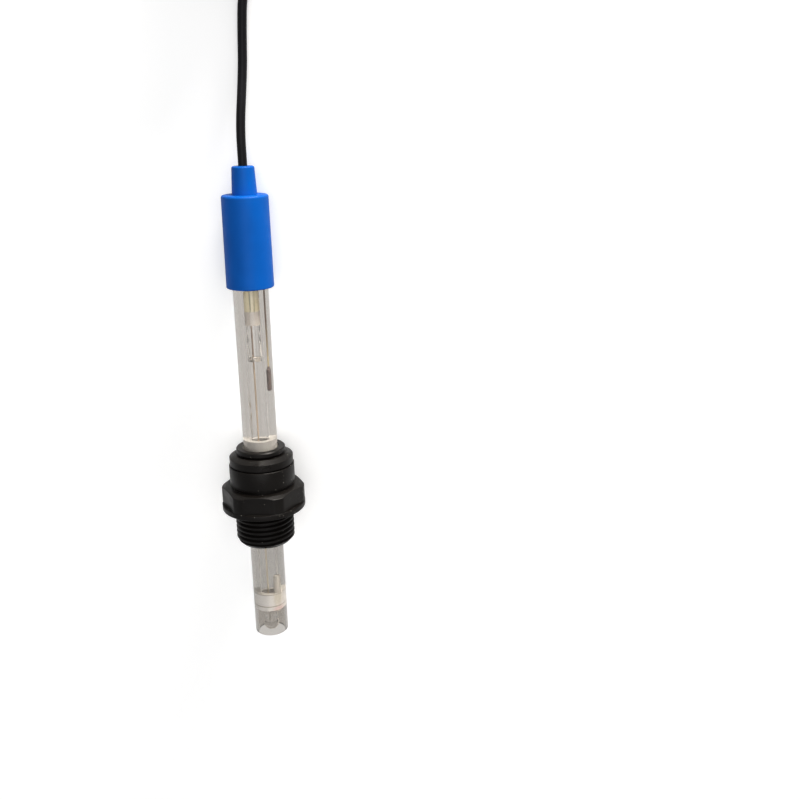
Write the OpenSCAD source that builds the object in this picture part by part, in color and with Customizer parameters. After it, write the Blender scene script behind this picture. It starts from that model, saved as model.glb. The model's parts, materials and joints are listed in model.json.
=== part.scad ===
// Combination pH electrode with a push-in adaptor slid over its tube.
// Each piece is modelled along its own axis, with z = 0 at the electrode's tip,
// and then laid on its side as it comes to rest: the cable end points to +Y,
// the floor is z = 0, and the adaptor's flange and the cap's shoulder carry it.

/* [Outer tube] */
// Outer diameter of the clear tube
tube_d = 12; // [11:0.1:13]
// Wall of the clear tube
tube_wall = 1.1; // [0.9:0.05:1.3]
// Length of tube that stands out below the cap
tube_free_l = 130; // [115:1:160]
// Length of tube held inside the cap
tube_socket_l = 16; // [12:0.5:18]
// Rounding of the tube's open lower edge
tube_edge_r = 0.7; // [0.3:0.05:0.8]

/* [Glass stem and bulb] */
// Outer diameter of the inner glass stem
stem_d = 4.7; // [4.3:0.1:5.1]
// Wall of the inner glass stem
stem_wall = 0.4; // [0.3:0.05:0.5]
// How far the stem's open top stays below the tube's top
stem_top_gap = 5; // [3:0.5:7]
// Outer diameter of the pH bulb
bulb_d = 5.4; // [5.2:0.1:6.4]
// Wall of the pH bulb
bulb_wall = 0.3; // [0.2:0.05:0.4]
// How far the bulb stays inside the tube's open end
bulb_recess = 0.3; // [0.1:0.1:1.5]

/* [Fill, plugs and wires] */
// Gap left round each piece that is pushed or bonded into its seat
seat_gap = 0.03; // [0.02:0.01:0.05]
// Distance from the stem's open top down to the lower end of the yellow resin plug
resin_depth = 19; // [17:0.5:24]
// Length of the yellow resin plug
resin_l = 17; // [10:0.5:17]
// Length of the white plug under the resin
stem_plug_l = 4.8; // [3:0.1:7]
// Outer diameter of the little cartridge tube
cartridge_d = 3.4; // [2.8:0.1:3.4]
// Wall of the cartridge tube
cartridge_wall = 0.35; // [0.25:0.05:0.5]
// Length of the cartridge tube
cartridge_l = 12.7; // [9:0.1:16]
// Thickness of the cotton plug in the cartridge's end
cotton_l = 1.5; // [0.8:0.1:3]
// Diameter of the inner silver wire
wire_d = 0.4; // [0.3:0.05:0.6]
// Sideways place of the inner wire, from the axis
wire_x = -0.4; // [-0.6:0.05:0]
// Distance from the tip to the inner wire's lower end
wire_end_z = 4; // [3:0.5:9]
// Diameter of the reference wire
ref_wire_d = 0.5; // [0.3:0.05:0.8]
// Distance of the reference wire from the axis
ref_wire_r = 3.6; // [3.5:0.05:3.8]
// Angle of the reference wire round the axis, from +X towards the underside
ref_wire_turn = -4; // [-40:1:20]
// Diameter of the reference element on the wire
element_d = 1.4; // [1:0.1:1.6]
// Length of the reference element
element_l = 8.8; // [6:0.1:12]
// Distance from the cap's rim down to the reference element's upper end
element_drop = 27.5; // [18:0.5:34]
// Distance from the tip to the top of the white middle plug
middle_plug_z = 76.1; // [74:0.1:82]
// Length of the white middle plug
middle_plug_l = 12; // [6:0.5:16]
// Distance from the tip to the underside of the lower plug
lower_plug_z = 11.7; // [9:0.1:14]
// Length of the lower plug
lower_plug_l = 5; // [3:0.1:8]
// Thickness of the resin that seals the lower plug
end_seal_l = 1.7; // [1:0.1:2.5]
// Diameter of the porous junction rod
junction_d = 2.3; // [1.6:0.1:2.3]
// Length of the porous junction rod
junction_l = 14.7; // [11:0.1:20]
// How far the junction rod stands out under the seal
junction_out = 1; // [0.5:0.1:3]
// Distance of the junction rod from the axis
junction_r = 3.6; // [3.55:0.01:3.65]
// Angle of the junction rod round the axis, from +X towards the underside
junction_turn = -38; // [-60:1:20]

/* [Cap] */
// Diameter of the cap at its open rim
cap_d = 16; // [15:0.1:18]
// Diameter of the cap at its shoulder
cap_top_d = 15.5; // [14.8:0.1:17]
// Length of the cap without its neck
cap_l = 30.5; // [27:0.5:36]
// Rounding of the cap's shoulder
cap_shoulder_r = 0.8; // [0.4:0.1:1.2]
// Rounding of the cap's open rim
cap_rim_r = 0.4; // [0.2:0.05:0.7]
// Diameter of the neck where it leaves the cap
neck_base_d = 8.3; // [7.5:0.1:10]
// Diameter of the neck at its cable end
neck_top_d = 7.4; // [6:0.1:9]
// Length of the neck
neck_l = 9.1; // [7:0.1:14]
// Rounding of the neck's cable end
neck_edge_r = 0.6; // [0.3:0.1:1]
// Thickness of the cap's roof over its potted space
cap_roof = 3.5; // [2.5:0.1:5]
// Length of cable jacket that reaches into the potted space
cable_tail_l = 3; // [2:0.5:5]

/* [Adaptor body] */
// Distance from the tip to the adaptor's sealing face
insertion = 50.4; // [44:0.1:58]
// Major diameter of the pipe thread
thread_d = 20.8; // [20.5:0.05:21.3]
// Pitch of the pipe thread
thread_pitch = 1.814; // [1.337:0.001:2]
// Depth of the pipe thread
thread_depth = 1.162; // [0.8:0.001:1.2]
// Length of the threaded end
thread_l = 13.1; // [10:0.1:15]
// Length of the chamfer at the thread's open end
thread_lead = 1.9; // [1:0.1:2.5]
// Diameter of the round flange under the hexagon
flange_d = 29.6; // [29:0.1:31]
// Thickness of the flange
flange_t = 1.9; // [1.2:0.1:3]
// Width of the hexagon across its flats
hex_af = 27; // [26:0.1:28]
// Diameter that the hexagon's corners are turned to
hex_corner_d = 29.4; // [28.8:0.1:29.8]
// Height of the hexagon with its flange
hex_l = 8.4; // [7:0.1:11]
// Angle of the chamfer on the hexagon's upper face
hex_chamfer = 28; // [15:1:35]
// Height of the groove above the hexagon
groove_l = 1; // [0.6:0.1:1.6]
// Diameter in that groove
groove_d = 21.6; // [21.4:0.1:22.5]
// Diameter of the round shell above the groove
shell_d = 23; // [22.6:0.1:25]
// Height of the shell
shell_l = 7; // [6.5:0.1:9]
// Diameter of the bore that the tube slides in, over the tube's own
bore_clear = 0.3; // [0.2:0.02:0.5]
// Height of the seal pocket's floor above the sealing face
pocket_z = 3.4; // [2.5:0.1:4.2]
// Thickness of the seal's cord, as squeezed
seal_t = 2.1; // [1.8:0.1:2.4]
// Running clearance round the seal
seal_clear = 0.05; // [0.03:0.01:0.08]
// Thickness of the support ring
support_t = 1.5; // [1:0.1:1.9]

/* [Retainer and collet] */
// Diameter of the retainer ring
retainer_d = 22.4; // [21.6:0.1:23.4]
// Height of the retainer ring above the shell
retainer_l = 3.5; // [2.5:0.1:5]
// Gap between the shell and the retainer ring
retainer_gap = 0.5; // [0.2:0.1:1]
// Diameter of the retainer's spigot inside the shell
spigot_d = 20.4; // [19.6:0.1:20.8]
// Length of the retainer's spigot inside the shell
spigot_l = 4; // [3:0.1:4.5]
// Height of the bevel round the retainer ring's upper edge
bevel_h = 1.1; // [0.6:0.1:1.6]
// Reach of that bevel towards the axis
bevel_w = 2; // [1:0.1:2.4]
// Inner diameter of the retainer ring
retainer_bore_d = 14.9; // [14.6:0.1:15.4]
// Outer diameter of the collet's sleeve
sleeve_d = 14.4; // [14.1:0.1:14.5]
// Diameter of the collet's push flange
push_d = 17.2; // [16.4:0.1:19]
// Thickness of the push flange
push_t = 1.5; // [1:0.1:2.2]
// Gap that the push flange closes when it is pressed
press_gap = 0.8; // [0.7:0.1:1.6]
// Number of fingers on the collet
finger_n = 6; // [4:2:8]
// Width of the slots between the fingers
finger_slot = 0.9; // [0.6:0.1:1.3]
// Height of the finger heads
head_l = 3.7; // [3:0.1:4]
// Length of the cone that closes the fingers, inside the spigot
cone_l = 2.6; // [1.8:0.1:3]
// Thickness of the steel gripping teeth
tooth_t = 0.4; // [0.3:0.05:0.6]

/* [Cable and plug] */
// Diameter of the cable
cable_d = 3; // [2.6:0.1:3.4]
// Diameter of the cable's insulated core
core_d = 1.4; // [1.2:0.1:1.6]
// Diameter of the cable's twisted shield
shield_d = 0.6; // [0.4:0.1:0.7]
// Diameter of the plug's bayonet collar
collar_d = 14.4; // [13.5:0.1:16]
// Length of the plug's bayonet collar
collar_l = 12.2; // [10.5:0.1:14]
// Diameter of the plug's rear body
plug_d = 11; // [10.4:0.1:12]
// Length of the plug's rear body behind the collar
plug_l = 8; // [6:0.1:10]
// Length of the plug's crimp ferrule
ferrule_l = 5; // [3:0.1:7]
// Length of the plug's rubber boot
boot_l = 14; // [11:0.5:16]

/* [Hidden] */
$fn = 64;

// Reach of a cut past the face that it opens
lap = 0.5;
// Small edge that is broken on turned and moulded pieces
soft_edge = 0.3;

// Heights along the electrode's axis, from the tip
tube_r = tube_d / 2;
tube_bore_r = tube_r - tube_wall;
tube_top = tube_free_l + tube_socket_l;
stem_r = stem_d / 2;
stem_bore_r = stem_r - stem_wall;
stem_top = tube_top - stem_top_gap;
bulb_r = bulb_d / 2;
bulb_z = bulb_recess + bulb_r;
cap_z = tube_free_l;
cap_top = cap_z + cap_l;
neck_top = cap_top + neck_l;
potting_top = cap_top - cap_roof;
potting_bottom = stem_top - 3;
potting_r = tube_r - 0.2;
resin_z = stem_top - resin_depth;
stem_plug_z = resin_z - stem_plug_l;
cartridge_z = stem_plug_z - cartridge_l;
cable_r = cable_d / 2;
tail_end_z = potting_top - cable_tail_l;
lead_joint_z = tube_top + 1;
ref_wire_top = tube_top + 2;
element_top = tube_free_l - element_drop;
element_z = element_top - element_l;
end_seal_z = lower_plug_z - end_seal_l;
junction_z = end_seal_z - junction_out;

// Heights on the adaptor, from its sealing face
hex_top = hex_l;
shell_z = hex_top + groove_l;
shell_top = shell_z + shell_l;
retainer_z = shell_top + retainer_gap;
retainer_top = retainer_z + retainer_l;
push_z = retainer_top + press_gap;
push_top = push_z + push_t;
spigot_z = shell_top - spigot_l;
pocket_r = tube_r + seal_t + 2 * seal_clear;
seal_z = pocket_z + seal_clear + seal_t / 2;
support_z = seal_z + seal_t / 2 + 3 * seal_clear;
bore_r = tube_r + bore_clear / 2;
sleeve_r = sleeve_d / 2;
sleeve_clear = 0.12;
sleeve_bore_r = tube_r + sleeve_clear;
head_clear = 0.15;
head_r = pocket_r - head_clear;
head_z = support_z + support_t + press_gap + 0.1;
head_top = head_z + head_l;
head_taper_l = cone_l + soft_edge;
tooth_z = head_z + head_l / 3;
tooth_out_r = head_r - 0.5;
tooth_tip_r = tube_r + 0.04;

// The laid-down pose: a line under the adaptor's flange and the cap's shoulder
flange_edge_r = soft_edge;
rest_a_z = insertion + flange_t - flange_edge_r;
rest_a_r = flange_d / 2 - flange_edge_r;
rest_b_z = cap_top - cap_shoulder_r;
rest_b_r = cap_top_d / 2 - cap_shoulder_r;
rest_l = norm([rest_b_z - rest_a_z, rest_b_r - rest_a_r]);
rest_tilt = atan2(rest_a_r - rest_b_r, rest_b_z - rest_a_z)
  + asin((flange_edge_r - cap_shoulder_r) / rest_l);
rest_h = rest_a_z * sin(rest_tilt) + rest_a_r * cos(rest_tilt) + flange_edge_r;
tip_y = -(tube_r - tube_edge_r) * sin(rest_tilt) - tube_edge_r * (1 - cos(rest_tilt));
neck_y = (neck_top - neck_edge_r) * cos(rest_tilt)
  + (neck_top_d / 2 - neck_edge_r) * sin(rest_tilt) + neck_edge_r;
mid_y = (tip_y + neck_y) / 2;

// Heights along the plug, from its boot's cable end
ferrule_z = boot_l;
plug_z = ferrule_z + ferrule_l;
collar_z = plug_z + plug_l;
plug_front = collar_z + collar_l;

// Radii of the plug, which are those of every such plug
pin_r = 0.67;
pin_root_r = 1.1;
core_bore_r = 1.2;
ferrule_r = 3.3;
boot_r = 3.9;
boot_tail_r = cable_r + 0.8;
insulator_r = 2.7;
contact_r = 4.05;
contact_wall = 0.45;
collar_bore_r = 4.9;
seat_z = collar_z + 1;

// The cable's route on the floor, from the neck to the hank and from it to the plug
cord_route = [
  [0, 84.7, 7.1], [0, 89, 6.8], [0, 93, 6.5], [0.1, 97, 5.9], [0.3, 101, 5],
  [0.6, 105, 3.9], [0.9, 109, 2.9], [1.2, 113, 2.1], [1.5, 117, 1.7],
  [1.8, 122, 1.6], [2.2, 128, 1.6], [2.8, 134, 1.6], [4, 139, 1.6], [6.2, 144, 1.6]
];
tail_route = [
  [8.4, 204, 8.2], [6.6, 206.6, 9], [3.6, 208.2, 9.9], [0.2, 208.2, 10.6],
  [-2.9, 206.6, 11.1], [-4.6, 203.8, 11.2], [-5, 200.4, 11.2], [-5, 197, 11.2],
  [-5, 194.5, 11.5], [-5, 192, 12]
];
cord_sides = 8;

// The hank of spare cable, and the plug that lies on it
hank_y = 178;
hank_l = 74;
hank_h = 9.6;
hank_end_r = 13.5;
hank_waist_half = 6.2;
hank_fillet_r = 7.5;
tie_w = 5;
tie_t = 0.5;
tie_clear = 0.1;
plug_tail = [-5, 192, 12];
plug_tilt = 10.4;
plug_axis = [0, -cos(plug_tilt), sin(plug_tilt)];

// A piece modelled along z, laid on its side on the floor
module lay_down() {
  translate([0, -mid_y, rest_h])
    rotate([-90 - rest_tilt, 0, 0])
      children();
}

// A piece of the adaptor, at its place on the tube
module on_tube() {
  lay_down()
    translate([0, 0, insertion])
      children();
}

// A piece of the plug, modelled from the boot's cable end along z
module on_plug() {
  translate(plug_tail)
    rotate([90 - plug_tilt, 0, 0])
      children();
}

// What rounds a profile's outer corner at the origin, with the profile at lower left
module corner_cut(r) {
  difference() {
    translate([-r, -r])
      square(r + lap);
    translate([-r, -r])
      circle(r);
  }
}

// A tube from one radius to another
module pipe(r_in, r_out, h) {
  rotate_extrude()
    translate([r_in, 0])
      square([r_out - r_in, h]);
}

// A straight round rod between two points
module rod(a, b, d) {
  run = b - a;
  translate(a)
    rotate([0, acos(run[2] / norm(run)), atan2(run[1], run[0])])
      cylinder(d = d, h = norm(run));
}

// Places round the axis: a distance out and an angle
function round_axis(r, turn) = [r * cos(turn), r * sin(turn), 0];

// A tube swept along a list of points, for the cable
function unit(v) = v / norm(v);
function heading(path, i) = unit(
  path[min(i + 1, len(path) - 1)] - path[max(i - 1, 0)]
);
function ring_at(path, i, r, sides) =
  let (
    ahead = heading(path, i),
    side = unit(cross(ahead, [0, 0, 1])),
    up = cross(side, ahead)
  )
  [for (k = [0 : sides - 1])
    path[i] + r * (cos(360 * k / sides) * side + sin(360 * k / sides) * up)];

module swept(path, r, sides) {
  last = len(path) - 1;
  points = [for (i = [0 : last]) each ring_at(path, i, r, sides)];
  walls = [
    for (i = [0 : last - 1])
      for (k = [0 : sides - 1])
        let (
          a = i * sides + k,
          b = i * sides + (k + 1) % sides
        )
        each [[a, b, b + sides], [a, b + sides, a + sides]]
  ];
  start = [[for (k = [sides - 1 : -1 : 0]) k]];
  end = [[for (k = [0 : sides - 1]) last * sides + k]];
  polyhedron(points = points, faces = concat(walls, start, end), convexity = 6);
}

module cap() {
  color("royalblue")
    lay_down()
      difference() {
        translate([0, 0, cap_z])
          rotate_extrude()
            cap_profile();
        translate([0, 0, cap_z - lap])
          cylinder(r = tube_r + seat_gap, h = tube_socket_l + lap + seat_gap);
        translate([0, 0, tube_top])
          cylinder(r = potting_r, h = potting_top - tube_top);
        translate([0, 0, potting_top - lap])
          cylinder(r = cable_r + seat_gap, h = neck_top - potting_top + 2 * lap);
      }
}

// Half of the cap's outline, from its rim up to the neck's end
module cap_profile() {
  difference() {
    union() {
      polygon([[0, 0], [cap_d / 2, 0], [cap_top_d / 2, cap_l], [0, cap_l]]);
      polygon([
        [0, cap_l - lap], [neck_base_d / 2, cap_l - lap], [neck_base_d / 2, cap_l],
        [neck_top_d / 2, cap_l + neck_l], [0, cap_l + neck_l]
      ]);
    }
    translate([cap_top_d / 2, cap_l])
      corner_cut(cap_shoulder_r);
    translate([neck_top_d / 2, cap_l + neck_l])
      corner_cut(neck_edge_r);
    translate([cap_d / 2, 0])
      mirror([0, 1])
        corner_cut(cap_rim_r);
  }
}

module outer_tube() {
  color("lightsteelblue", 0.5)
    lay_down()
      rotate_extrude()
        difference() {
          translate([tube_bore_r, 0])
            square([tube_wall, tube_top]);
          translate([tube_r, 0])
            mirror([0, 1])
              corner_cut(tube_edge_r);
        }
}

// The stem's outside, as a solid, also for what is cast round it
module stem_solid(grow = 0) {
  translate([0, 0, bulb_z])
    cylinder(r = stem_r + grow, h = stem_top - bulb_z + grow);
}

module stem_tube() {
  color("azure", 0.6)
    lay_down()
      rotate_extrude()
        difference() {
          union() {
            translate([0, bulb_z])
              square([stem_r, stem_top - bulb_z]);
            translate([0, bulb_z])
              intersection() {
                circle(bulb_r);
                translate([0, -bulb_d])
                  square([bulb_d, 2 * bulb_d]);
              }
          }
          translate([0, bulb_z])
            circle(bulb_r - bulb_wall);
          translate([-lap, bulb_z])
            square([stem_bore_r + lap, stem_top]);
        }
}

// A round plug inside the stem, with a hole for the inner wire
module stem_filler(z, h, r) {
  difference() {
    translate([0, 0, z])
      cylinder(r = r - seat_gap, h = h);
    translate([wire_x, 0, z - lap])
      cylinder(d = wire_d + 2 * seat_gap, h = h + 2 * lap);
  }
}

module resin_plug() {
  color("khaki")
    lay_down()
      stem_filler(resin_z, resin_l, stem_bore_r);
}

module stem_plug() {
  color("ivory")
    lay_down()
      stem_filler(stem_plug_z, stem_plug_l, stem_bore_r);
}

module cartridge_tube() {
  color("azure", 0.6)
    lay_down()
      translate([0, 0, cartridge_z])
        rotate_extrude()
          difference() {
            translate([cartridge_d / 2 - cartridge_wall, 0])
              square([cartridge_wall, cartridge_l]);
            translate([cartridge_d / 2, 0])
              mirror([0, 1])
                corner_cut(cartridge_wall * 0.8);
          }
}

module cartridge_cotton() {
  color("wheat")
    lay_down()
      stem_filler(cartridge_z, cotton_l, cartridge_d / 2 - cartridge_wall);
}

module inner_wire() {
  color("saddlebrown")
    lay_down()
      translate([wire_x, 0, wire_end_z])
        cylinder(d = wire_d, h = lead_joint_z - wire_end_z);
}

module reference_wire() {
  color("peru")
    lay_down()
      translate(round_axis(ref_wire_r, ref_wire_turn))
        translate([0, 0, element_top])
          cylinder(d = ref_wire_d, h = ref_wire_top - element_top);
}

module reference_element() {
  color("dimgray")
    lay_down()
      translate(round_axis(ref_wire_r, ref_wire_turn))
        translate([0, 0, element_z])
          rotate_extrude()
            intersection() {
              union() {
                translate([0, element_d / 2])
                  circle(d = element_d);
                polygon([
                  [0, element_d / 2], [element_d / 2, element_d / 2],
                  [element_d / 2, element_l - element_d],
                  [ref_wire_d / 2, element_l], [0, element_l]
                ]);
              }
              square([element_d, element_l]);
            }
}

// A plug between the outer tube and the stem
module ring_plug(z, h) {
  translate([0, 0, z])
    pipe(stem_r + seat_gap, tube_bore_r - seat_gap, h);
}

module junction_hole() {
  translate(round_axis(junction_r, junction_turn))
    cylinder(d = junction_d + 2 * seat_gap, h = tube_free_l);
}

module middle_plug() {
  color("whitesmoke")
    lay_down()
      ring_plug(middle_plug_z - middle_plug_l, middle_plug_l);
}

module lower_plug() {
  color("gainsboro")
    lay_down()
      difference() {
        ring_plug(lower_plug_z, lower_plug_l);
        junction_hole();
      }
}

module end_seal() {
  color("lightgray", 0.8)
    lay_down()
      difference() {
        ring_plug(end_seal_z, end_seal_l);
        junction_hole();
      }
}

module junction_rod() {
  color("tan")
    lay_down()
      translate(round_axis(junction_r, junction_turn))
        translate([0, 0, junction_z])
          rotate_extrude()
            difference() {
              square([junction_d / 2, junction_l]);
              translate([junction_d / 2, 0])
                mirror([0, 1])
                  corner_cut(junction_d / 6);
              translate([junction_d / 2, junction_l])
                corner_cut(junction_d / 6);
            }
}

module head_potting() {
  color("darkkhaki")
    lay_down()
      difference() {
        union() {
          translate([0, 0, potting_bottom])
            cylinder(r = tube_bore_r - seat_gap, h = tube_top - potting_bottom + seat_gap);
          translate([0, 0, tube_top + seat_gap])
            cylinder(r = potting_r - seat_gap, h = potting_top - tube_top - 2 * seat_gap);
        }
        stem_solid(seat_gap);
        translate([wire_x, 0, potting_bottom])
          cylinder(d = wire_d + 2 * seat_gap, h = lead_joint_z - potting_bottom);
        translate([0, 0, lead_joint_z])
          cylinder(d = core_d + 2 * seat_gap, h = potting_top - lead_joint_z);
        translate([0, 0, tail_end_z])
          cylinder(r = cable_r + seat_gap, h = cable_tail_l + lap);
        translate(round_axis(ref_wire_r, ref_wire_turn))
          translate([0, 0, potting_bottom - lap])
            cylinder(d = ref_wire_d + 2 * seat_gap, h = ref_wire_top - potting_bottom + lap);
        shield_run(seat_gap);
      }
}

module cable_tail() {
  color("black")
    lay_down()
      translate([0, 0, tail_end_z])
        cylinder(r = cable_r, h = neck_top - tail_end_z);
}

module core_lead() {
  color("ghostwhite")
    lay_down()
      translate([0, 0, lead_joint_z])
        cylinder(d = core_d, h = tail_end_z - lead_joint_z);
}

// The twisted shield, from the cable's end across to the reference wire, where it is
// soldered in a bead; grown a little for the hole that it leaves in the potting
module shield_run(grow = 0) {
  joint = round_axis(ref_wire_r, ref_wire_turn) + [0, 0, ref_wire_top + shield_d / 2];
  bend = round_axis((core_d + shield_d) / 2 + 4 * seat_gap, ref_wire_turn)
    + [0, 0, tail_end_z - 2 * shield_d];
  translate(joint)
    sphere(d = 2 * shield_d + 2 * grow);
  rod(joint, bend, shield_d + 2 * grow);
  translate(bend)
    sphere(d = shield_d + 0.16 + 2 * grow);
  translate(bend)
    cylinder(d = shield_d + 2 * grow, h = tail_end_z - bend[2]);
}

module shield_lead() {
  color("silver")
    lay_down()
      difference() {
        shield_run();
        translate(round_axis(ref_wire_r, ref_wire_turn))
          cylinder(d = ref_wire_d + 2 * seat_gap, h = ref_wire_top + seat_gap);
      }
}

// The pipe thread's outline: ridges at the pitch, between flat crests and roots
module thread_profile() {
  turns = floor((thread_l - thread_pitch / 2) / thread_pitch);
  crest = thread_d / 2;
  root = crest - thread_depth;
  flat = thread_pitch / 6;
  teeth = [
    for (i = [0 : turns - 1])
      let (z = -thread_l + thread_pitch * (i + 0.5))
      each [
        [root, z - thread_pitch / 2 + flat], [crest, z],
        [crest, z + flat], [root, z + thread_pitch / 2]
      ]
  ];
  intersection() {
    polygon(concat(
      [[bore_r, -thread_l], [root, -thread_l]],
      teeth,
      [[root, 0], [bore_r, 0]]
    ));
    polygon([
      [0, -thread_l], [root - soft_edge, -thread_l],
      [crest + soft_edge, -thread_l + thread_lead], [crest + soft_edge, 0], [0, 0]
    ]);
  }
}

module fitting_body() {
  color("#202124")
    on_tube()
      difference() {
        union() {
          rotate_extrude()
            thread_profile();
          intersection() {
            cylinder(d = hex_af / cos(30), h = hex_top, $fn = 6);
            hex_turning();
          }
          rotate_extrude()
            difference() {
              square([flange_d / 2, flange_t]);
              translate([flange_d / 2, 0])
                mirror([0, 1])
                  corner_cut(flange_edge_r);
              translate([flange_d / 2, flange_t])
                corner_cut(flange_edge_r);
            }
          translate([0, 0, hex_top - lap])
            cylinder(d = groove_d, h = groove_l + 2 * lap);
          translate([0, 0, shell_z])
            rotate_extrude()
              difference() {
                square([shell_d / 2, shell_l]);
                translate([shell_d / 2, 0])
                  mirror([0, 1])
                    corner_cut(soft_edge);
                translate([shell_d / 2, shell_l])
                  corner_cut(soft_edge);
              }
        }
        translate([0, 0, -thread_l - lap])
          cylinder(r = bore_r, h = thread_l + shell_top);
        translate([0, 0, pocket_z])
          cylinder(r = pocket_r, h = shell_top - pocket_z + lap);
        translate([0, 0, spigot_z - seat_gap])
          cylinder(d = spigot_d + 2 * seat_gap, h = spigot_l + lap);
      }
}

// What the hexagon is turned to: round corners and a chamfered upper face
module hex_turning() {
  rise = tan(hex_chamfer);
  face_r = hex_af / 2 - 0.4;
  rotate_extrude()
    polygon([
      [0, 0], [hex_corner_d / 2, 0],
      [hex_corner_d / 2, hex_top - (hex_corner_d / 2 - face_r) * rise],
      [face_r, hex_top], [0, hex_top]
    ]);
}

module retainer_ring() {
  color("#26272a")
    on_tube()
      rotate_extrude()
        polygon([
          [pocket_r, spigot_z],
          [spigot_d / 2, spigot_z],
          [spigot_d / 2, retainer_z],
          [retainer_d / 2, retainer_z],
          [retainer_d / 2, retainer_top - bevel_h],
          [retainer_d / 2 - bevel_w, retainer_top],
          [retainer_bore_d / 2 + soft_edge, retainer_top],
          [retainer_bore_d / 2, retainer_top - soft_edge],
          [retainer_bore_d / 2, spigot_z + cone_l]
        ]);
}

module collet_profile() {
  polygon([
    [sleeve_bore_r, head_z],
    [head_r, head_z],
    [head_r, head_top],
    [sleeve_r, head_top + head_taper_l],
    [sleeve_r, push_z],
    [push_d / 2, push_z],
    [push_d / 2, push_top - soft_edge],
    [push_d / 2 - soft_edge, push_top],
    [sleeve_bore_r + soft_edge, push_top],
    [sleeve_bore_r, push_top - soft_edge]
  ]);
}

module finger_slots() {
  for (i = [0 : finger_n - 1])
    rotate([0, 0, (i + 0.5) * 360 / finger_n])
      translate([0, -finger_slot / 2, head_z - lap])
        cube([push_d, finger_slot, retainer_z - head_z + lap]);
}

module collet() {
  color("#1b1c1e")
    on_tube()
      difference() {
        rotate_extrude()
          collet_profile();
        finger_slots();
        translate([0, 0, tooth_z - seat_gap])
          cylinder(r = tooth_out_r + seat_gap, h = tooth_t + 2 * seat_gap);
      }
}

module grip_teeth() {
  color("silver")
    on_tube()
      difference() {
        translate([0, 0, tooth_z])
          pipe(tooth_tip_r, tooth_out_r, tooth_t);
        finger_slots();
      }
}

module o_ring() {
  color("black")
    on_tube()
      translate([0, 0, seal_z])
        rotate_extrude()
          translate([tube_r + seal_clear + seal_t / 2, 0])
            circle(d = seal_t);
}

module support_ring() {
  color("gray")
    on_tube()
      translate([0, 0, support_z])
        pipe(tube_r + 2 * seal_clear, pocket_r - 2 * seal_clear, support_t);
}

module cord_run() {
  color("black")
    swept(cord_route, cable_r, cord_sides);
}

module cord_tail() {
  color("black")
    swept(
      concat(tail_route, [for (way = [6, 12, plug_z]) plug_tail + way * plug_axis]),
      cable_r, cord_sides
    );
}

// The hank's outline: round ends that run through hollow fillets into a straight waist
function on_arc(centre, r, angle) = centre + r * [cos(angle), sin(angle)];

module hank_outline() {
  end_steps = 24;
  fillet_steps = 5;
  end_y = hank_l / 2 - hank_end_r;
  fillet_x = hank_waist_half + hank_fillet_r;
  fillet_y = end_y - sqrt(pow(hank_end_r + hank_fillet_r, 2) - pow(fillet_x, 2));
  meet = atan2(end_y - fillet_y, fillet_x);
  half = [
    for (i = [1 : end_steps - 1])
      on_arc([0, end_y], hank_end_r, -meet + i * (180 + 2 * meet) / end_steps),
    for (i = [0 : fillet_steps])
      on_arc([-fillet_x, fillet_y], hank_fillet_r, meet * (1 - i / fillet_steps)),
    for (i = [0 : fillet_steps])
      on_arc([-fillet_x, -fillet_y], hank_fillet_r, -meet * i / fillet_steps)
  ];
  polygon(concat(half, [for (place = half) -place]));
}

module cord_hank() {
  lift = tie_t + tie_clear;
  color("black")
    translate([0, hank_y, 0])
      difference() {
        linear_extrude(hank_h)
          hank_outline();
        translate([-hank_end_r, -tie_w, -lap])
          cube([2 * hank_end_r, 2 * tie_w, lift + lap]);
      }
}

module hank_tie() {
  bottom = tie_t;
  inner = [2 * (hank_waist_half + tie_clear), tie_w, hank_h + tie_clear - bottom];
  color("dimgray")
    translate([0, hank_y, bottom + inner[2] / 2])
      difference() {
        cube(inner + [2 * tie_t, 0, 2 * tie_t], center = true);
        cube(inner + [0, 2 * lap, 0], center = true);
      }
}

module bnc_boot() {
  ribs = 4;
  groove = 0.9;
  color("black")
    on_plug()
      rotate_extrude()
        difference() {
          polygon([
            [cable_r + seat_gap, 0], [boot_tail_r, 0],
            [boot_r, boot_l - 2], [boot_r, boot_l], [cable_r + seat_gap, boot_l]
          ]);
          for (i = [1 : ribs])
            let (share = i / (ribs + 1))
              translate([
                boot_tail_r + share * (boot_r - boot_tail_r) - groove / 2,
                share * (boot_l - 2)
              ])
                square([boot_r, groove]);
        }
}

module bnc_ferrule() {
  color("silver")
    on_plug()
      translate([0, 0, ferrule_z])
        pipe(cable_r + seat_gap, ferrule_r, ferrule_l);
}

module bnc_body() {
  neck = collar_z - 2 * soft_edge;
  color("silver")
    on_plug()
      rotate_extrude()
        polygon([
          [core_bore_r, plug_z], [plug_d / 2 - soft_edge, plug_z],
          [plug_d / 2, plug_z + soft_edge], [plug_d / 2, neck - 2 * soft_edge],
          [plug_d / 2 - 2 * soft_edge, neck],
          [contact_r, neck], [contact_r, plug_front - 2.5],
          [contact_r - contact_wall, plug_front - 2.5],
          [contact_r - contact_wall, seat_z], [core_bore_r, seat_z]
        ]);
}

module bnc_insulator() {
  color("white")
    on_plug()
      translate([0, 0, seat_z + seat_gap])
        pipe(pin_r + seat_gap, insulator_r, collar_l / 2);
}

module bnc_pin() {
  root_z = plug_z + 1;
  tip_z = plug_front - 3;
  color("gold")
    on_plug()
      rotate_extrude()
        polygon([
          [0, root_z], [pin_root_r, root_z], [pin_root_r, seat_z - seat_gap],
          [pin_r, seat_z - seat_gap], [pin_r, tip_z - 1], [pin_r / 3, tip_z], [0, tip_z]
        ]);
}

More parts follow.
